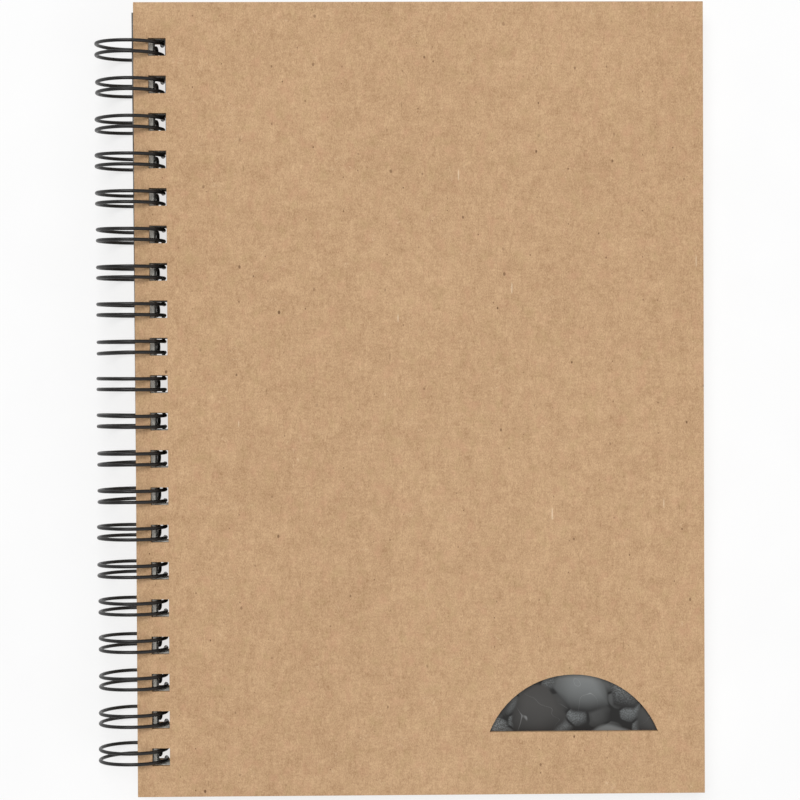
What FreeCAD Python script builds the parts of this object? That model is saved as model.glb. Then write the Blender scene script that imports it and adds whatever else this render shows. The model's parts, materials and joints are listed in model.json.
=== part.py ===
import FreeCAD, Part
import math
import os
import Sketcher

# Twin-loop bound sketchbook, lying closed on a table with its front cover up.
#
# Millimetres.  X runs from the spine to the fore-edge, Y along the spine, Z up.  The origin is the
# middle of the book's footprint, on the table.
#
# Every piece is drawn in the binding's own frame, whose Y axis is the axis of the wire rings: the
# middle of the spine's length is y = 0, the covers and leaves lie parallel to the XY plane and reach
# towards +X.  One placement then lays the whole book down on the table.

Vector = FreeCAD.Vector
Rotation = FreeCAD.Rotation
Placement = FreeCAD.Placement

ALONG_SPINE = Vector(0, 1, 0)

# name in the sheet, value in millimetres (angles in degrees), meaning
SIZES = (
    ("hole_count", 20, "punched holes along the spine, one for each twin loop"),
    ("hole_pitch", 8.4667, "three holes to the inch"),
    ("hole_side", 4.0, "side of each square hole"),
    ("hole_shift", 0.5, "row of holes, from the sheet's middle towards the tail"),
    ("cover_width", 129.0, "spine edge to fore-edge"),
    ("cover_length", 180.0, "head to tail"),
    ("cover_thickness", 1.5, "kraft board"),
    ("cover_margin", 3.3, "spine edge to the holes"),
    ("spine_reach", 1.35, "ring axis to the covers' spine edge"),
    ("front_level", 3.7, "ring axis up to the front cover's inner face"),
    ("back_level", 3.7, "ring axis down to the back cover's inner face, at the spine edge"),
    ("leaf_width", 127.0, "spine edge to fore-edge"),
    ("leaf_length", 178.0, "head to tail"),
    ("leaf_count", 50, "blank sketching leaves"),
    ("leaf_thickness", 0.11, "sketching paper"),
    ("leaf_gap", 0.009, "air between neighbours in the closed block"),
    ("leaf_margin", 2.6, "leaf's spine edge to its holes"),
    ("leaf_offset", 1.5, "leaves' spine edge inside the covers' spine edge"),
    ("leaf_scatter", 0.14, "how far a leaf strays from a square stack"),
    ("print_width", 128.5, "printed card behind the window, spine edge to fore-edge"),
    ("print_length", 176.0, "head to tail"),
    ("print_thickness", 0.28, "light card"),
    ("print_margin", 3.5, "printed card's spine edge to its holes"),
    ("print_offset", -0.2, "printed card's spine edge, measured in from the cover's"),
    ("print_drop", 0.12, "printed card's slip towards the tail"),
    ("print_skew", 0.2, "printed card's turn within its loose holes"),
    ("window_width", 38.4, "cut-out, along its flat base"),
    ("window_height", 13.0, "cut-out, base to crown"),
    ("window_middle", 99.1, "cover's spine edge to the cut-out's middle"),
    ("window_base", 14.2, "cover's tail edge up to the cut-out's base"),
    ("wire_diameter", 0.8, "enamelled steel wire"),
    ("ring_radius", 7.6, "ring axis to the wire's centre line"),
    ("root_spacing", 2.5, "twin wires' centre distance where a finger starts"),
    ("tip_spacing", 2.4, "twin wires' centre distance at a finger's tip"),
    ("root_bend", 0.9, "bend between a straight link and a finger"),
    ("root_angle", -17.1, "ring angle where a finger leaves its root bend"),
    ("tuck_angle", 305.0, "ring angle where a finger starts to curl inward"),
    ("tuck_radius", 3.0, "radius of that inward curl"),
    ("tip_angle", 340.0, "direction angle where the curl meets the rounded tip"),
    ("end_link", 1.4, "straight end of the wire beyond its first and last fingers"),
)

doc = FreeCAD.newDocument("Sketchbook")
sheet = doc.addObject("Spreadsheet::Sheet", "Sizes")
for row, (alias, value, meaning) in enumerate(SIZES, start=1):
    sheet.set(f"A{row}", meaning)
    sheet.set(f"B{row}", str(value))
    sheet.setAlias(f"B{row}", alias)
doc.recompute()


def size(alias):
    return float(sheet.get(alias))


# ---- the closed book on the table ------------------------------------------------------------

# The seam of the wire keeps the back cover off the block at the spine; at the fore-edge the two
# touch, so the back cover leans in by a small wedge.
block_bottom = (
    size("front_level")
    - size("leaf_gap")
    - size("print_thickness")
    - size("leaf_count") * (size("leaf_thickness") + size("leaf_gap"))
)
seam_gap = size("back_level") + block_bottom
wedge = math.asin((seam_gap - 3 * size("leaf_gap")) / size("cover_width"))

# The book rests on the rings at one side and on the back cover's fore-edge at the other.
outer_radius = size("ring_radius") + size("wire_diameter") / 2
wedge_turn = Rotation(ALONG_SPINE, -math.degrees(wedge))
wedge_hinge = Vector(size("spine_reach"), 0, -size("back_level"))
foot = wedge_hinge + wedge_turn.multVec(Vector(size("cover_width"), 0, -size("cover_thickness")))
lean = math.asin(outer_radius / math.hypot(foot.x, foot.z)) - math.atan2(-foot.z, foot.x)
rest_turn = Rotation(ALONG_SPINE, math.degrees(lean))
cover_corner = Vector(
    size("spine_reach") + size("cover_width"),
    0,
    size("front_level") + size("cover_thickness"),
)
reach = max(rest_turn.multVec(cover_corner).x, rest_turn.multVec(foot).x)
ring_axis = Vector((outer_radius - reach) / 2, 0, outer_radius)
rest = Placement(ring_axis, rest_turn)


# ---- helpers ---------------------------------------------------------------------------------


def origin_plane(body, role):
    return next(feature for feature in body.Origin.OriginFeatures if feature.Role == role)


def new_sketch(body, name):
    sketch = body.newObject("Sketcher::SketchObject", name)
    sketch.AttachmentSupport = [(origin_plane(body, "XY_Plane"), "")]
    sketch.MapMode = "FlatFace"
    return sketch


def bind(sketch, kind, picks, name, expression):
    """One driving dimension of a sketch, tied to the sheet."""
    index = sketch.addConstraint(Sketcher.Constraint(kind, *picks, 1.0))
    sketch.renameConstraint(index, name)
    sketch.setExpression(f"Constraints.{name}", expression)


def rectangle(sketch, left, bottom, width, length):
    """A rectangle from expressions: its lower left corner, and its sides along X and Y."""
    corners = [Vector(0, 0), Vector(9, 0), Vector(9, 9), Vector(0, 9)]
    for start, end in zip(corners, corners[1:] + corners[:1]):
        sketch.addGeometry(Part.LineSegment(start, end))
    for side in range(4):
        sketch.addConstraint(Sketcher.Constraint("Coincident", side, 2, (side + 1) % 4, 1))
        direction = "Vertical" if side % 2 else "Horizontal"
        sketch.addConstraint(Sketcher.Constraint(direction, side))
    bind(sketch, "DistanceX", (-1, 1, 0, 1), "left", left)
    bind(sketch, "DistanceY", (-1, 1, 0, 1), "bottom", bottom)
    bind(sketch, "DistanceX", (0, 1, 0, 2), "width", width)
    bind(sketch, "DistanceY", (1, 1, 1, 2), "length", length)


def cut_through(body, sketch, name):
    """A pocket through the whole sheet, which stands on the sketch's plane."""
    pocket = body.newObject("PartDesign::Pocket", name)
    pocket.Profile = sketch
    pocket.Type = "ThroughAll"
    pocket.Reversed = True
    sketch.Visibility = False
    body.Tip = pocket
    return pocket


def punched_sheet(label, kind):
    """A sheet with its spine edge on the Y axis, and its holes; kind is cover, print or leaf."""
    body = doc.addObject("PartDesign::Body", label)
    body.Label = label

    outline = new_sketch(body, "Outline")
    rectangle(outline, "0", f"-Sizes.{kind}_length / 2", f"Sizes.{kind}_width", f"Sizes.{kind}_length")
    pad = body.newObject("PartDesign::Pad", "Board")
    pad.Profile = outline
    pad.setExpression("Length", f"Sizes.{kind}_thickness")
    outline.Visibility = False

    first_hole = new_sketch(body, "FirstHole")
    rectangle(
        first_hole,
        f"Sizes.{kind}_margin",
        "-Sizes.hole_shift - (Sizes.hole_count - 1) * Sizes.hole_pitch / 2 - Sizes.hole_side / 2",
        "Sizes.hole_side",
        "Sizes.hole_side",
    )
    hole = cut_through(body, first_hole, "Hole")

    holes = body.newObject("PartDesign::LinearPattern", "Holes")
    holes.Originals = [hole]
    holes.Direction = (origin_plane(body, "Y_Axis"), [""])
    holes.setExpression("Length", "(Sizes.hole_count - 1) * Sizes.hole_pitch")
    holes.setExpression("Occurrences", "Sizes.hole_count")
    body.Tip = holes
    return body


# ---- covers ----------------------------------------------------------------------------------


def window(body):
    """The cut-out low on the fore-edge side: a flat base under one shallow arch."""
    sketch = new_sketch(body, "WindowOutline")
    sketch.addGeometry(Part.LineSegment(Vector(0, 0), Vector(30, 0)))
    sketch.addGeometry(Part.Arc(Vector(30, 0), Vector(15, 10), Vector(0, 0)))
    sketch.addConstraint(Sketcher.Constraint("Coincident", 0, 1, 1, 2))
    sketch.addConstraint(Sketcher.Constraint("Coincident", 0, 2, 1, 1))
    sketch.addConstraint(Sketcher.Constraint("Horizontal", 0))
    bind(sketch, "DistanceX", (-1, 1, 0, 1), "left", "Sizes.window_middle - Sizes.window_width / 2")
    bind(sketch, "DistanceY", (-1, 1, 0, 1), "base", "Sizes.window_base - Sizes.cover_length / 2")
    bind(sketch, "DistanceX", (0, 1, 0, 2), "width", "Sizes.window_width")
    bind(
        sketch,
        "Radius",
        (1,),
        "arch",
        "(Sizes.window_width ^ 2 / 4 + Sizes.window_height ^ 2) / (2 * Sizes.window_height)",
    )
    return cut_through(body, sketch, "Window")


front_cover = punched_sheet("front_cover", "cover")
window(front_cover)
front_cover.Placement = rest.multiply(
    Placement(Vector(size("spine_reach"), 0, size("front_level")), Rotation())
)

back_cover = punched_sheet("back_cover", "cover")
back_cover.Placement = rest.multiply(
    Placement(wedge_hinge, wedge_turn).multiply(
        Placement(Vector(0, 0, -size("cover_thickness")), Rotation())
    )
)


# ---- printed card and drawing leaves ---------------------------------------------------------

printed_sheet = punched_sheet("printed_sheet", "print")
level = size("front_level") - size("leaf_gap") - size("print_thickness")
printed_sheet.Placement = rest.multiply(
    Placement(
        Vector(size("spine_reach") + size("print_offset"), -size("print_drop"), level),
        Rotation(Vector(0, 0, 1), size("print_skew")),
    )
)

leaves = []
for number in range(1, int(size("leaf_count")) + 1):
    leaf = punched_sheet(f"leaf_{number:02d}", "leaf")
    level -= size("leaf_gap") + size("leaf_thickness")
    stray = Vector(math.sin(2.4 * number), math.cos(3.7 * number)) * size("leaf_scatter")
    leaf.Placement = rest.multiply(
        Placement(Vector(size("spine_reach") + size("leaf_offset"), 0, level) + stray, Rotation())
    )
    leaves.append(leaf)


# ---- twin-loop wire --------------------------------------------------------------------------


def on_ring(angle, along, radius, centre=Vector()):
    """The point at an angle in degrees, from +X towards +Z, on a circle about the Y direction."""
    turn = math.radians(angle)
    return centre + Vector(radius * math.cos(turn), along, radius * math.sin(turn))


def heading(angle):
    """The direction of travel round the ring: from the root up over the spine and on to the tip."""
    turn = math.radians(angle)
    return Vector(-math.sin(turn), 0, math.cos(turn))


def half_finger(middle, side):
    """Edges of one wire of a finger, from its link to the end of its tip; side is +1 or -1."""
    radius = size("ring_radius")
    bend = size("root_bend")
    root = middle + side * size("root_spacing") / 2
    tip = middle + side * size("tip_spacing") / 2
    start_angle = size("root_angle")

    finger_start = on_ring(start_angle, root, radius)
    link_end = finger_start - heading(start_angle) * bend + Vector(0, side * bend, 0)
    quarter = math.sqrt(0.5)
    bend_middle = (
        finger_start
        + Vector(0, side * bend * (1 - quarter), 0)
        - heading(start_angle) * bend * quarter
    )

    # The upper half of the ring, in a plane that leans from the root spacing to the tip spacing.
    opposite = on_ring(start_angle + 180, tip, radius)
    highest = on_ring(start_angle + 90, (root + tip) / 2, math.hypot(radius, (root - tip) / 2))

    # The lower part, and the inward curl that carries the tip past the root.
    tuck = size("tuck_angle")
    lower_middle = on_ring((start_angle + 180 + tuck) / 2, tip, radius)
    lower_end = on_ring(tuck, tip, radius)
    curl_centre = on_ring(tuck, 0, radius - size("tuck_radius"))
    curl_middle = on_ring((tuck + size("tip_angle")) / 2, tip, size("tuck_radius"), curl_centre)
    curl_end = on_ring(size("tip_angle"), tip, size("tuck_radius"), curl_centre)

    edges = [
        Part.Arc(link_end, bend_middle, finger_start).toShape(),
        Part.Arc(finger_start, highest, opposite).toShape(),
        Part.Arc(opposite, lower_middle, lower_end).toShape(),
        Part.Arc(lower_end, curl_middle, curl_end).toShape(),
    ]
    return edges, link_end, curl_end


def finger(middle):
    """Edges of one twin loop in order, and the two ends of its links."""
    there, first, tip_start = half_finger(middle, -1)
    back, last, tip_end = half_finger(middle, 1)
    crown = (tip_start + tip_end) * 0.5 + heading(size("tip_angle")) * size("tip_spacing") / 2
    rounded_tip = Part.Arc(tip_start, crown, tip_end).toShape()
    return there + [rounded_tip] + back[::-1], first, last


def wire_path():
    count = int(size("hole_count"))
    edges = []
    link_start = None
    for number in range(count):
        middle = (number - (count - 1) / 2) * size("hole_pitch") - size("hole_shift")
        loop, first, last = finger(middle)
        if link_start is None:
            link_start = first - ALONG_SPINE * size("end_link")
        edges.append(Part.LineSegment(link_start, first).toShape())
        edges.extend(loop)
        link_start = last
    edges.append(Part.LineSegment(link_start, link_start + ALONG_SPINE * size("end_link")).toShape())
    return Part.Wire(edges), edges[0].Vertexes[0].Point


path, wire_end = wire_path()
section = Part.Wire(Part.Circle(wire_end, ALONG_SPINE, size("wire_diameter") / 2).toShape())
binding_wire = doc.addObject("Part::Feature", "binding_wire")
binding_wire.Label = "binding_wire"
binding_wire.Shape = path.makePipeShell([section], True, False)
binding_wire.Placement = rest

doc.recompute()


# ---- checks and export -----------------------------------------------------------------------


def check_volume(piece, expected):
    if abs(piece.Shape.Volume - expected) > 0.001 * expected:
        raise RuntimeError(f"{piece.Label}: {piece.Shape.Volume:.1f} mm3, not {expected:.1f}")


for item in doc.Objects:
    if "Invalid" in item.State or "Error" in item.State:
        raise RuntimeError(f"{item.Label} failed: {item.State}")

arch_half = 2 * math.atan(2 * size("window_height") / size("window_width"))
arch_radius = size("window_width") / 2 / math.sin(arch_half)
window_area = arch_radius**2 * (arch_half - math.sin(arch_half) * math.cos(arch_half))
punched_area = size("hole_count") * size("hole_side") ** 2
kinds = {front_cover: "cover", back_cover: "cover", printed_sheet: "print"}
kinds.update({leaf: "leaf" for leaf in leaves})
for piece, kind in kinds.items():
    area = size(f"{kind}_width") * size(f"{kind}_length") - punched_area
    if piece is front_cover:
        area -= window_area
    check_volume(piece, area * size(f"{kind}_thickness"))
check_volume(binding_wire, math.pi * size("wire_diameter") ** 2 / 4 * path.Length)

os.makedirs("parts", exist_ok=True)
for piece in list(kinds) + [binding_wire]:
    if piece.Shape.isNull() or not piece.Shape.isValid():
        raise RuntimeError(f"{piece.Label} has no valid shape")
    piece.Shape.exportStep(f"parts/{piece.Label}.step")
print(f"{len(kinds) + 1} pieces, {path.Length:.0f} mm of wire")
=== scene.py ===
import json
import math
import random

import bmesh
import bpy
from mathutils import Matrix, Vector


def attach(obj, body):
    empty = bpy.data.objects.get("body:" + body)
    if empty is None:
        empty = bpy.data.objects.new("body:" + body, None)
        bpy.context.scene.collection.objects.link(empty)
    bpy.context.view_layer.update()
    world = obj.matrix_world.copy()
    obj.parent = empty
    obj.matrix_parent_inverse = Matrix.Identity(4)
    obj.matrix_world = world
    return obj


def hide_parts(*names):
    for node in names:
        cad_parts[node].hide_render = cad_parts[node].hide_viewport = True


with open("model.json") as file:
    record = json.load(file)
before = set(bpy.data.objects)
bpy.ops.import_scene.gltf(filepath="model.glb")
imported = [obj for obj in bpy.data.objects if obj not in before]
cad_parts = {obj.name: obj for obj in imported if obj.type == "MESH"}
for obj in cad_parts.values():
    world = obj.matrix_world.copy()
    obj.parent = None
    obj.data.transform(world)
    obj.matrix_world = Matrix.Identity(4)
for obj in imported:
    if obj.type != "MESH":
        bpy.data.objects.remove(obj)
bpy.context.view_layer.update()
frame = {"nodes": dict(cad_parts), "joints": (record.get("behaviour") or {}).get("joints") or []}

MM = 0.001

# ---- sizes -----------------------------------------------------------------------------------

# The binding wire, as the CAD model draws it.
PITCH = 8.4667 * MM
FINGERS = 20
HOLE_SHIFT = 0.5 * MM
WIRE_RADIUS = 0.4 * MM
RING_RADIUS = 7.6 * MM
ROOT_SPACING = 2.5 * MM
TIP_SPACING = 2.4 * MM
ROOT_BEND = 0.9 * MM
ROOT_ANGLE = -17.1
TUCK_ANGLE = 305.0
TUCK_RADIUS = 3.0 * MM
TIP_ANGLE = 340.0
END_LINK = 1.4 * MM

# How far hand-closed fingers stray from each other, at most.
FINGER_LEAN = 0.22 * MM
FINGER_SPREAD = 0.12 * MM
FINGER_BULGE = 0.12 * MM

# How finely the wire's curves are divided.
BEND_STEPS = 8
HALF_RING_STEPS = 40
LOWER_RING_STEPS = 32
TUCK_STEPS = 8
TIP_STEPS = 12

# The rounding of a board's cut edges.
BOARD_EDGE = 0.14 * MM

# The floor lies just clear of the book. It is level out to FLOOR_FLAT, then curves up.
FLOOR_DROP = 0.05 * MM
FLOOR_FLAT = 3.0
FLOOR_CURVE = 1.0
FLOOR_WALL = 1.6
FLOOR_SIDES = 96

# Across the book, the middle of the leaves' row of square holes.
HOLE_ROW = -53.7 * MM

ring_axis = Vector(next(j["pos_m"] for j in frame["joints"] if j["child"] == "front_cover"))


def top_normal(node):
    """The normal of a CAD node's largest upward face."""
    faces = [p for p in frame["nodes"][node].data.polygons if p.normal.z > 0.9]
    return max(faces, key=lambda p: p.area).normal.copy()


cover_normal = top_normal("front_cover")
lean = math.atan2(cover_normal.x, cover_normal.z)
book = Matrix.Translation(ring_axis) @ Matrix.Rotation(lean, 4, "Y")


# ---- shader graphs ---------------------------------------------------------------------------

# A Mix node has one set of sockets for each kind of data; these are the ones for colours.
MIX_COLOUR_A = 6
MIX_COLOUR_B = 7
MIX_COLOUR_RESULT = 2


class Graph:
    """A material and short calls for its nodes; every call returns an output socket."""

    def __init__(self, name):
        self.material = bpy.data.materials.new(name)
        self.material.use_nodes = True
        self.tree = self.material.node_tree
        self.tree.nodes.clear()
        self.shader = self.tree.nodes.new("ShaderNodeBsdfPrincipled")
        output = self.tree.nodes.new("ShaderNodeOutputMaterial")
        self.tree.links.new(self.shader.outputs["BSDF"], output.inputs["Surface"])
        coordinates = self.tree.nodes.new("ShaderNodeTexCoord")
        self.place = coordinates.outputs["Object"]
        self.facing = coordinates.outputs["Normal"]

    def add(self, kind, inputs, **settings):
        node = self.tree.nodes.new(kind)
        for key, value in settings.items():
            setattr(node, key, value)
        for key, value in inputs.items():
            self.set(node.inputs[key], value)
        return node

    def set(self, socket, value):
        if isinstance(value, bpy.types.NodeSocket):
            self.tree.links.new(value, socket)
        else:
            socket.default_value = value

    def surface(self, **inputs):
        for key, value in inputs.items():
            self.set(self.shader.inputs[key.replace("_", " ")], value)

    def stretch(self, scale, turn=0.0, shift=(0, 0, 0)):
        """The place on the surface, shifted, turned in the XY plane and scaled."""
        inputs = {"Vector": self.place, "Scale": scale, "Location": shift}
        inputs["Rotation"] = (0, 0, math.radians(turn))
        return self.add("ShaderNodeMapping", inputs).outputs["Vector"]

    def noise(self, size, place=None, detail=2.0, roughness=0.5, distortion=0.0):
        """Noise whose features are about size metres wide."""
        inputs = {"Vector": place or self.place, "Scale": 1 / size, "Detail": detail}
        inputs.update({"Roughness": roughness, "Distortion": distortion})
        return self.add("ShaderNodeTexNoise", inputs).outputs["Fac"]

    def cells(self, size, output, place, feature="F1", **inputs):
        """Voronoi cells about size metres wide, in the XY plane."""
        inputs.update({"Vector": place, "Scale": 1 / size})
        settings = {"feature": feature, "voronoi_dimensions": "2D"}
        return self.add("ShaderNodeTexVoronoi", inputs, **settings).outputs[output]

    def specks(self, spacing, largest, rare, slim=0.7, turn=0.0):
        """Scattered specks, up to largest times spacing across; a small slim draws them out."""
        place = self.stretch((1, slim, 1), turn, (largest, rare, 0))
        centre = self.cells(spacing, "Distance", place, Randomness=1.0)
        pick = self.add("ShaderNodeSeparateColor", {"Color": self.cells(spacing, "Color", place)})
        radius = self.remap(pick.outputs[0], rare, 1.0, 0.0, largest)
        inside = self.maths("SUBTRACT", radius, centre)
        spot = self.remap(inside, 0.0, largest * 0.4, smooth=True)
        return self.maths("MULTIPLY", spot, self.remap(pick.outputs[1], 0.0, 1.0, 0.2, 0.85))

    def sum(self, *terms):
        total = terms[0]
        for term in terms[1:]:
            total = self.maths("ADD", total, term)
        return total

    def maths(self, operation, first, second=0.0):
        return self.add("ShaderNodeMath", {0: first, 1: second}, operation=operation).outputs[0]

    def vector(self, operation, first, second=(0, 0, 0), output="Vector"):
        node = self.add("ShaderNodeVectorMath", {0: first, 1: second}, operation=operation)
        return node.outputs[output]

    def remap(self, value, low, high, new_low=0.0, new_high=1.0, smooth=False):
        inputs = {"Value": value, "From Min": low, "From Max": high}
        inputs.update({"To Min": new_low, "To Max": new_high})
        kind = "SMOOTHSTEP" if smooth else "LINEAR"
        return self.add("ShaderNodeMapRange", inputs, interpolation_type=kind).outputs["Result"]

    def mix(self, factor, first, second):
        node = self.add("ShaderNodeMix", {0: factor}, data_type="RGBA")
        self.set(node.inputs[MIX_COLOUR_A], first)
        self.set(node.inputs[MIX_COLOUR_B], second)
        return node.outputs[MIX_COLOUR_RESULT]

    def bump(self, height, distance, strength):
        inputs = {"Height": height, "Distance": distance, "Strength": strength}
        return self.add("ShaderNodeBump", inputs).outputs["Normal"]


def colour(red, green, blue):
    """A shader colour from the sRGB values 0 to 255 of a swatch."""

    def linear(value):
        value /= 255
        return value / 12.92 if value <= 0.04045 else ((value + 0.055) / 1.055) ** 2.4

    return (linear(red), linear(green), linear(blue), 1.0)


# ---- materials -------------------------------------------------------------------------------


def kraft_face():
    """Recycled kraft board: cloudy pulp, a grain along the spine, stray fibres and bark specks."""
    g = Graph("kraft_face")
    fleck = g.noise(0.25 * MM, g.stretch((1.0, 0.62, 1.0)), detail=2, roughness=0.8)
    grain = g.noise(0.85 * MM, g.stretch((1.0, 0.36, 1.0)), detail=2, roughness=0.8)
    cross = g.noise(0.9 * MM, g.stretch((0.3, 1.0, 1.0), shift=(0.3, 0.1, 0)), roughness=0.8)
    pulp = g.noise(3.4 * MM, g.stretch((1.0, 0.75, 1.0)), roughness=0.6, distortion=0.3)
    cloud = g.noise(25 * MM, detail=2)
    tone = g.sum(
        g.maths("MULTIPLY", fleck, 0.7),
        g.maths("MULTIPLY", grain, 0.28),
        g.maths("MULTIPLY", cross, 0.18),
        g.maths("MULTIPLY", pulp, 0.21),
        g.maths("MULTIPLY", cloud, 0.1),
    )
    shade = g.remap(tone, 0.49, 0.98)
    base = g.mix(shade, colour(150, 115, 82), colour(208, 174, 136))
    blush = g.noise(2.6 * MM, g.stretch((1, 0.8, 1), shift=(0.7, 0.2, 0)), detail=3)
    base = g.mix(g.remap(blush, 0.54, 0.74, 0, 0.35), base, colour(190, 146, 116))
    moss = g.noise(3.0 * MM, g.stretch((1, 0.8, 1), shift=(0.1, 0.9, 0)), detail=3)
    base = g.mix(g.remap(moss, 0.55, 0.75, 0, 0.3), base, colour(172, 147, 104))

    ridge = g.noise(2.6 * MM, g.stretch((1, 1, 1), shift=(0, 0.5, 0)), detail=1, distortion=1.5)
    thread = g.remap(g.maths("ABSOLUTE", g.maths("SUBTRACT", ridge, 0.5)), 0.0, 0.012, 1.0, 0.0)
    patch = g.remap(g.noise(5 * MM, g.stretch((1, 1, 1), shift=(0.2, 0, 0.4))), 0.58, 0.68)
    pale_fibre = g.maths("MULTIPLY", g.maths("MULTIPLY", thread, patch), 0.45)
    base = g.mix(pale_fibre, base, colour(226, 198, 164))

    speck = g.maths("MAXIMUM", g.specks(8.5 * MM, 0.044, 0.3), g.specks(3.4 * MM, 0.06, 0.66))
    base = g.mix(speck, base, colour(92, 64, 40))
    for turn, rare in ((12, 0.62), (-38, 0.72), (71, 0.76)):
        strand = g.maths("MULTIPLY", g.specks(4.2 * MM, 0.04, rare, 0.13, turn), 0.6)
        base = g.mix(strand, base, colour(118, 88, 60))
    for turn, rare in ((48, 0.84), (-20, 0.86)):
        pale_strand = g.specks(5.5 * MM, 0.04, rare, 0.12, turn)
        base = g.mix(g.maths("MULTIPLY", pale_strand, 0.7), base, colour(232, 212, 184))

    height = g.sum(g.maths("MULTIPLY", fleck, 0.6), g.maths("MULTIPLY", grain, 0.4), pale_fibre)
    g.surface(Base_Color=base, Roughness=g.remap(fleck, 0.2, 0.8, 0.74, 0.92))
    g.surface(Specular_IOR_Level=0.25, Normal=g.bump(height, 0.06 * MM, 0.7))
    return g.material


def kraft_edge():
    """The board's cut edges: paler than the face, partly the board's own pale core and partly a
    painted highlight so the lit lips read bright, with the plies running round the board.
    """
    g = Graph("kraft_edge")
    across = g.vector("DOT_PRODUCT", g.place, tuple(cover_normal), "Value")
    plies = g.add("ShaderNodeCombineXYZ", {"Z": across}).outputs["Vector"]
    layer = g.noise(0.22 * MM, plies, detail=2)
    torn = g.noise(0.5 * MM, detail=3, roughness=0.6)
    tone = g.sum(g.maths("MULTIPLY", layer, 0.6), g.maths("MULTIPLY", torn, 0.4))
    # Pale edge colours: the core's own tone, raised further as a painted highlight.
    base = g.mix(g.remap(tone, 0.35, 0.65), colour(214, 182, 146), colour(250, 232, 206))
    g.surface(Base_Color=base, Roughness=0.9, Specular_IOR_Level=0.2)
    g.surface(Normal=g.bump(tone, 0.06 * MM, 0.7))
    return g.material


def paper():
    """Natural white sketching paper, with painted shade on its faces around the holes and on the
    walls inside them.
    """
    g = Graph("sketching_paper")
    tooth = g.noise(0.18 * MM, detail=3, roughness=0.6)
    cloud = g.noise(6 * MM, detail=2)
    tone = g.sum(g.maths("MULTIPLY", tooth, 0.5), g.maths("MULTIPLY", cloud, 0.5))
    clean = g.mix(g.remap(tone, 0.3, 0.7), colour(222, 219, 210), colour(244, 242, 235))
    edge = g.mix(g.remap(tooth, 0.3, 0.7), colour(226, 221, 208), colour(248, 244, 233))
    # Painted shade: the leaves' cut walls inside the holes get a dark grey that stands in for the
    # shade there.
    wall = g.mix(g.remap(tooth, 0.3, 0.7), colour(104, 106, 103), colour(158, 158, 152))

    where = g.add("ShaderNodeSeparateXYZ", {"Vector": g.place})
    aside = g.maths("ABSOLUTE", g.maths("SUBTRACT", where.outputs["X"], HOLE_ROW))
    count = g.maths("DIVIDE", g.maths("ADD", where.outputs["Y"], HOLE_SHIFT), PITCH)
    along = g.maths("ABSOLUTE", g.maths("SUBTRACT", g.maths("FRACT", count), 0.5))
    from_hole = g.maths("MAXIMUM", aside, g.maths("MULTIPLY", along, PITCH))
    inboard = g.remap(g.maths("ABSOLUTE", where.outputs["Y"]), 85 * MM, 86 * MM, 1.0, 0.0)
    # Painted shade: the leaf faces around each hole are darkened grey, varied a little by noise.
    hole_shade_mask = g.maths("MULTIPLY", g.remap(from_hole, 2.2 * MM, 3.3 * MM, 1.0, 0.0), inboard)
    wear_and_painted_shade = g.maths("MULTIPLY", hole_shade_mask, g.remap(g.noise(0.9 * MM), 0.3, 0.7, 0.45, 0.85))
    face = g.mix(wear_and_painted_shade, clean, colour(128, 127, 122))
    cut = g.mix(g.remap(hole_shade_mask, 0.2, 0.6), edge, wall)
    facing = g.vector("DOT_PRODUCT", g.facing, tuple(cover_normal), "Value")
    base = g.mix(g.remap(g.maths("ABSOLUTE", facing), 0.4, 0.6), cut, face)
    g.surface(Base_Color=base, Roughness=g.remap(tooth, 0.2, 0.8, 0.75, 0.95))
    g.surface(Specular_IOR_Level=0.2, Normal=g.bump(tooth, 0.02 * MM, 0.5))
    return g.material


def stones(g, size, turn, shift):
    """Rounded pebbles about size metres wide, lit from one side: their colour and outline."""
    turned = g.stretch((1, 1.15, 0), turn=turn, shift=shift)
    wobble = g.add("ShaderNodeTexNoise", {"Vector": turned, "Scale": 1.4 / size, "Detail": 1.0})
    bend = g.vector("SUBTRACT", wobble.outputs["Color"], (0.5, 0.5, 0.5))
    spot = g.vector("ADD", turned, g.vector("MULTIPLY", bend, (0.3 * size, 0.3 * size, 0)))
    centre = g.cells(size, "Position", spot, Randomness=0.7)
    gap = g.cells(size, "Distance", spot, feature="DISTANCE_TO_EDGE", Randomness=0.7)
    kind = g.add("ShaderNodeSeparateColor", {"Color": g.cells(size, "Color", spot, Randomness=0.7)})
    reach = g.vector("MULTIPLY", g.vector("SUBTRACT", spot, centre), (1 / size, 1 / size, 0))
    far = g.vector("LENGTH", reach, output="Value")
    outline = g.maths(
        "MINIMUM",
        g.remap(gap, 0.015, 0.075, smooth=True),
        g.remap(far, 0.5, 0.6, 1.0, 0.0, smooth=True),
    )
    dome = g.maths(
        "MINIMUM",
        g.remap(gap, 0.0, 0.24, smooth=True),
        g.remap(far, 0.16, 0.62, 1.0, 0.0, smooth=True),
    )
    lit = g.vector("DOT_PRODUCT", reach, (-0.25, 0.85, 0), "Value")
    light = g.sum(g.maths("MULTIPLY", dome, 0.42), g.maths("MULTIPLY", lit, 0.8), 0.3)
    stone = g.mix(kind.outputs[0], colour(60, 58, 56), colour(120, 123, 123))
    speckle = g.remap(g.noise(0.35 * MM, turned, detail=2), 0.42, 0.62)
    granite = g.maths("MULTIPLY", g.remap(kind.outputs[1], 0.6, 0.64), 0.6)
    stone = g.mix(granite, stone, g.mix(speckle, stone, colour(158, 164, 166)))
    shaded = g.mix(g.remap(light, 0.0, 0.85), colour(28, 27, 26), stone)
    vein = g.noise(9 * MM, turned, detail=1, distortion=0.5)
    vein = g.remap(g.maths("ABSOLUTE", g.maths("SUBTRACT", vein, 0.5)), 0.0, 0.003, 0.3, 0.0)
    return g.mix(g.maths("MULTIPLY", vein, dome), shaded, colour(176, 178, 178)), outline


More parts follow.
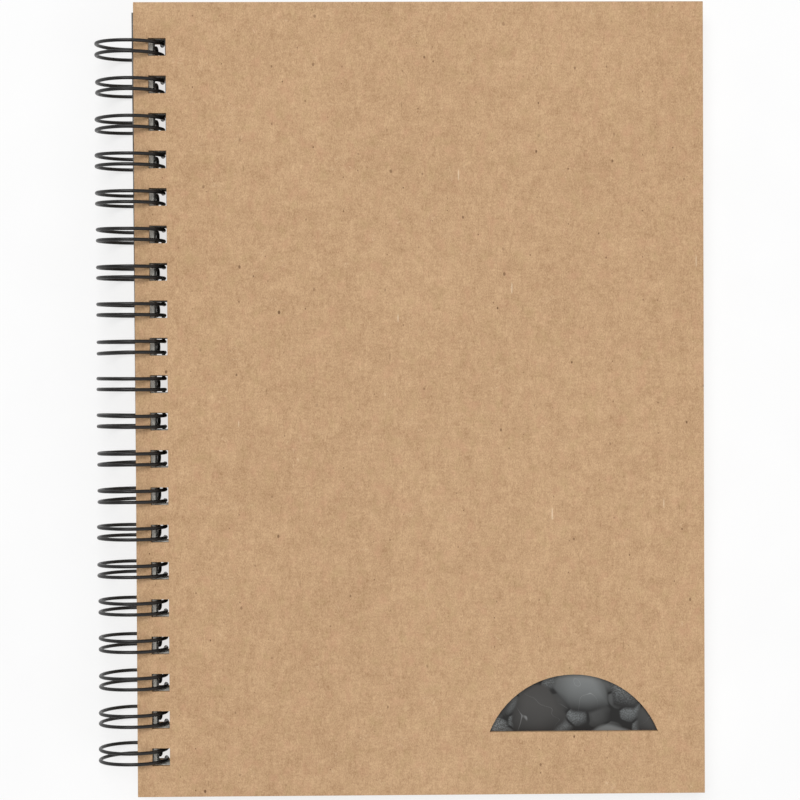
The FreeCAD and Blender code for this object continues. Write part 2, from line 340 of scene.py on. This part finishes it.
def pebble_print():
    """A card printed on top with pebbles, small ones lying between large; plain underneath."""
    g = Graph("pebble_print")
    large, outline = stones(g, 13 * MM, 24, (0.004, 0.0015, 0))
    small, small_outline = stones(g, 5.5 * MM, -31, (0.011, 0.007, 0))
    between = g.mix(small_outline, colour(17, 16, 15), small)
    between = g.mix(0.45, between, colour(22, 21, 20))
    printed = g.mix(outline, between, large)
    tooth = g.noise(0.25 * MM)
    card = g.mix(g.remap(tooth, 0.3, 0.7), colour(214, 211, 203), colour(236, 234, 227))
    facing = g.vector("DOT_PRODUCT", g.facing, tuple(cover_normal), "Value")
    base = g.mix(g.remap(facing, 0.4, 0.6), card, printed)
    g.surface(Base_Color=base, Roughness=g.remap(tooth, 0.2, 0.8, 0.42, 0.56))
    g.surface(Specular_IOR_Level=0.3, Normal=g.bump(tooth, 0.01 * MM, 0.4))
    return g.material


def black_wire():
    """Satin black coating on drawn wire, with faint draw marks and spots where the coating is worn.
    """
    g = Graph("black_wire")
    mottled = g.noise(0.6 * MM, detail=3)
    # Spots where the coating is worn, lighter; on the wire this mask is wear only.
    wear_and_painted_shade = g.remap(g.noise(2.5 * MM, detail=2), 0.6, 0.75)
    base = g.mix(mottled, colour(16, 15, 15), colour(34, 32, 31))
    base = g.mix(g.maths("MULTIPLY", wear_and_painted_shade, 0.25), base, colour(56, 52, 49))
    g.surface(Base_Color=base, Roughness=g.remap(mottled, 0.3, 0.7, 0.3, 0.44))
    g.surface(Specular_IOR_Level=0.32, Normal=g.bump(mottled, 0.015 * MM, 0.5))
    return g.material


def floor_paper():
    """A pale, evenly lit sweep, like a light table turned low."""
    g = Graph("pale_floor")
    mottled = g.noise(0.02, detail=2)
    g.surface(Base_Color=g.mix(mottled, (0.22, 0.22, 0.22, 1), (0.25, 0.25, 0.25, 1)))
    g.surface(Roughness=0.8, Specular_IOR_Level=0.1)
    g.surface(Emission_Color=(1, 1, 1, 1), Emission_Strength=0.71)
    return g.material


# ---- pieces ----------------------------------------------------------------------------------


def link(obj):
    bpy.context.scene.collection.objects.link(obj)
    return obj


def board(name, node, face, edge):
    """A cover cut from kraft board: the CAD plate with its cut edges slightly rounded."""
    mesh = frame["nodes"][node].data.copy()
    mesh.name = name
    work = bmesh.new()
    work.from_mesh(mesh)
    bmesh.ops.remove_doubles(work, verts=work.verts, dist=1e-6)
    bmesh.ops.dissolve_limit(
        work, angle_limit=math.radians(1), verts=work.verts, edges=work.edges
    )
    sharp = [e for e in work.edges if e.calc_face_angle(0) > math.radians(40)]
    bmesh.ops.bevel(
        work,
        geom=sharp,
        offset=BOARD_EDGE,
        segments=3,
        profile=0.5,
        affect="EDGES",
        clamp_overlap=True,
    )
    for polygon in work.faces:
        polygon.smooth = True
        polygon.material_index = 0 if abs(polygon.normal.dot(cover_normal)) > 0.8 else 1
    work.to_mesh(mesh)
    work.free()
    mesh.materials.clear()
    mesh.materials.append(face)
    mesh.materials.append(edge)
    piece = link(bpy.data.objects.new(name, mesh))
    normals = piece.modifiers.new("even_normals", "WEIGHTED_NORMAL")
    normals.keep_sharp = False
    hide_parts(node)
    return piece


def ring_point(angle, along, radius, centre=(0.0, 0.0)):
    """A point at an angle round the ring, 0 towards the leaves and 90 upwards."""
    turn = math.radians(angle)
    return Vector((centre[0] + radius * math.cos(turn), along, centre[1] + radius * math.sin(turn)))


def heading(angle):
    """The direction of travel round the ring at an angle."""
    turn = math.radians(angle)
    return Vector((-math.sin(turn), 0, math.cos(turn)))


def steps(start, end, count):
    """Even steps from start towards end, without end itself."""
    return [start + (end - start) * i / count for i in range(count)]


def half_finger(side):
    """One wire of a finger about y = 0, from its link to the start of its rounded tip."""
    root = side * ROOT_SPACING / 2
    tip = side * TIP_SPACING / 2
    finger_start = ring_point(ROOT_ANGLE, root, RING_RADIUS)
    along = heading(ROOT_ANGLE)
    points = []
    for turn in steps(math.pi / 2, 0, BEND_STEPS):
        back = along * ROOT_BEND * math.sin(turn)
        aside = Vector((0, side * ROOT_BEND * (1 - math.cos(turn)), 0))
        points.append(finger_start - back + aside)
    for angle in steps(ROOT_ANGLE, ROOT_ANGLE + 180, HALF_RING_STEPS):
        share = math.cos(math.radians(angle - ROOT_ANGLE))
        points.append(ring_point(angle, (root + tip) / 2 + (root - tip) / 2 * share, RING_RADIUS))
    for angle in steps(ROOT_ANGLE + 180, TUCK_ANGLE, LOWER_RING_STEPS):
        points.append(ring_point(angle, tip, RING_RADIUS))
    turn = math.radians(TUCK_ANGLE)
    offset = RING_RADIUS - TUCK_RADIUS
    centre = (offset * math.cos(turn), offset * math.sin(turn))
    for angle in steps(TUCK_ANGLE, TIP_ANGLE, TUCK_STEPS):
        points.append(ring_point(angle, tip, TUCK_RADIUS, centre))
    points.append(ring_point(TIP_ANGLE, tip, TUCK_RADIUS, centre))
    return points


def rounded_tip(start, end):
    """The half circle that joins a finger's two wires, without its ends."""
    middle = (start + end) / 2
    radius = (end - start).length / 2
    forward = heading(TIP_ANGLE) * radius
    aside = (start - end) / 2
    turns = [math.pi * i / TIP_STEPS for i in range(1, TIP_STEPS)]
    return [middle + aside * math.cos(t) + forward * math.sin(t) for t in turns]


def stray(point, lean_by, spread_by, bulge_by):
    """Moves the free, outer part of a finger a little; its ends at the seam stay in place."""
    angle = math.atan2(point.z, point.x)
    share = max(0.0, -math.cos(angle)) ** 1.5
    outward = Vector((point.x, 0, point.z)).normalized()
    across = lean_by + math.copysign(spread_by, point.y)
    return point + Vector((0, across, 0)) * share + outward * bulge_by * share


def wire_points():
    random.seed(7)
    points = []
    for number in range(FINGERS):
        middle = Vector((0, (number - (FINGERS - 1) / 2) * PITCH - HOLE_SHIFT, 0))
        there = half_finger(-1)
        back = half_finger(1)[::-1]
        finger = there + rounded_tip(there[-1], back[0]) + back
        limits = (FINGER_LEAN, FINGER_SPREAD, FINGER_BULGE)
        amounts = [random.uniform(-1, 1) * most for most in limits]
        finger = [stray(point, *amounts) + middle for point in finger]
        points.extend(finger)
    first = points[0] - Vector((0, END_LINK, 0))
    last = points[-1] + Vector((0, END_LINK, 0))
    return [book @ point for point in [first] + points + [last]]


def wire(material):
    line = bpy.data.curves.new("wire_line", "CURVE")
    line.dimensions = "3D"
    line.bevel_depth = WIRE_RADIUS
    line.bevel_resolution = 5
    line.use_fill_caps = True
    spline = line.splines.new("POLY")
    points = wire_points()
    spline.points.add(len(points) - 1)
    for target, point in zip(spline.points, points):
        target.co = (*point, 1)
    carrier = link(bpy.data.objects.new("wire_line", line))
    bpy.context.view_layer.update()
    depsgraph = bpy.context.evaluated_depsgraph_get()
    mesh = bpy.data.meshes.new_from_object(carrier.evaluated_get(depsgraph))
    mesh.name = "twin_loop_wire"
    bpy.data.objects.remove(carrier)
    mesh.materials.clear()
    mesh.materials.append(material)
    for polygon in mesh.polygons:
        polygon.use_smooth = True
    piece = link(bpy.data.objects.new("twin_loop_wire", mesh))
    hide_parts("binding_wire")
    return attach(piece, "binding")


def dress(node, material):
    """Gives a CAD node its finish."""
    obj = frame["nodes"][node]
    obj.data.materials.clear()
    obj.data.materials.append(material)


kraft = kraft_face()
cut_edge = kraft_edge()
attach(board("front_board", "front_cover", kraft, cut_edge), "front_cover")
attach(board("back_board", "back_cover", kraft, cut_edge), "binding")
wire(black_wire())
dress("printed_sheet", pebble_print())
leaf_paper = paper()
for name in sorted(frame["nodes"]):
    if name.startswith("leaf_"):
        dress(name, leaf_paper)


# ---- stage -----------------------------------------------------------------------------------


def floor():
    """A round sheet just under the book, curving up into a low wall a few metres away."""
    turns = steps(0, math.pi / 2, 12)
    out = [FLOOR_FLAT + FLOOR_CURVE * math.sin(t) for t in turns]
    up = [FLOOR_CURVE * (1 - math.cos(t)) for t in turns]
    curve = list(zip(out, up))
    rim = FLOOR_FLAT + FLOOR_CURVE
    profile = [(0.5, 0.0), (1.5, 0.0)] + curve + [(rim, FLOOR_CURVE), (rim, FLOOR_WALL)]
    work = bmesh.new()
    centre = work.verts.new((0, 0, 0))
    rings = []
    for radius, height in profile:
        turns = [math.tau * i / FLOOR_SIDES for i in range(FLOOR_SIDES)]
        ring = [(radius * math.cos(t), radius * math.sin(t), height) for t in turns]
        rings.append([work.verts.new(point) for point in ring])
    for i in range(FLOOR_SIDES):
        after = (i + 1) % FLOOR_SIDES
        work.faces.new((centre, rings[0][i], rings[0][after]))
        for inner, outer in zip(rings, rings[1:]):
            work.faces.new((inner[i], outer[i], outer[after], inner[after]))
    for face in work.faces:
        face.smooth = True
    mesh = bpy.data.meshes.new("floor")
    work.to_mesh(mesh)
    work.free()
    mesh.materials.append(floor_paper())
    sheet = link(bpy.data.objects.new("floor", mesh))
    sheet.location.z = -FLOOR_DROP


def soft_light(name, place, size, power):
    lamp = bpy.data.lights.new(name, "AREA")
    lamp.shape = "RECTANGLE"
    lamp.size, lamp.size_y = size
    lamp.energy = power
    obj = link(bpy.data.objects.new(name, lamp))
    obj.location = place
    obj.rotation_mode = "QUATERNION"
    obj.rotation_quaternion = (-Vector(place)).to_track_quat("-Z", "Y")


def surroundings(strength):
    world = bpy.data.worlds.new("studio")
    world.use_nodes = True
    background = world.node_tree.nodes["Background"]
    background.inputs["Color"].default_value = (1, 1, 1, 1)
    background.inputs["Strength"].default_value = strength
    bpy.context.scene.world = world


def camera():
    """Straight above the cover, at the distance of a small copy stand."""
    lens = bpy.data.cameras.new("camera")
    lens.lens = 97.78
    lens.sensor_width = 36
    obj = link(bpy.data.objects.new("camera", lens))
    obj.location = (0.00658, 0.0069, 0.50408)
    obj.rotation_euler = [math.radians(a) for a in (-0.820, 0.744, -0.265)]
    bpy.context.scene.camera = obj


floor()
soft_light("key", (-0.25, 0.7, 2.0), (1.2, 1.2), 32.0)
soft_light("fill", (1.3, -1.1, 1.5), (1.6, 1.6), 12.4)
surroundings(0.34)
camera()
bpy.context.scene.view_settings.view_transform = "Standard"
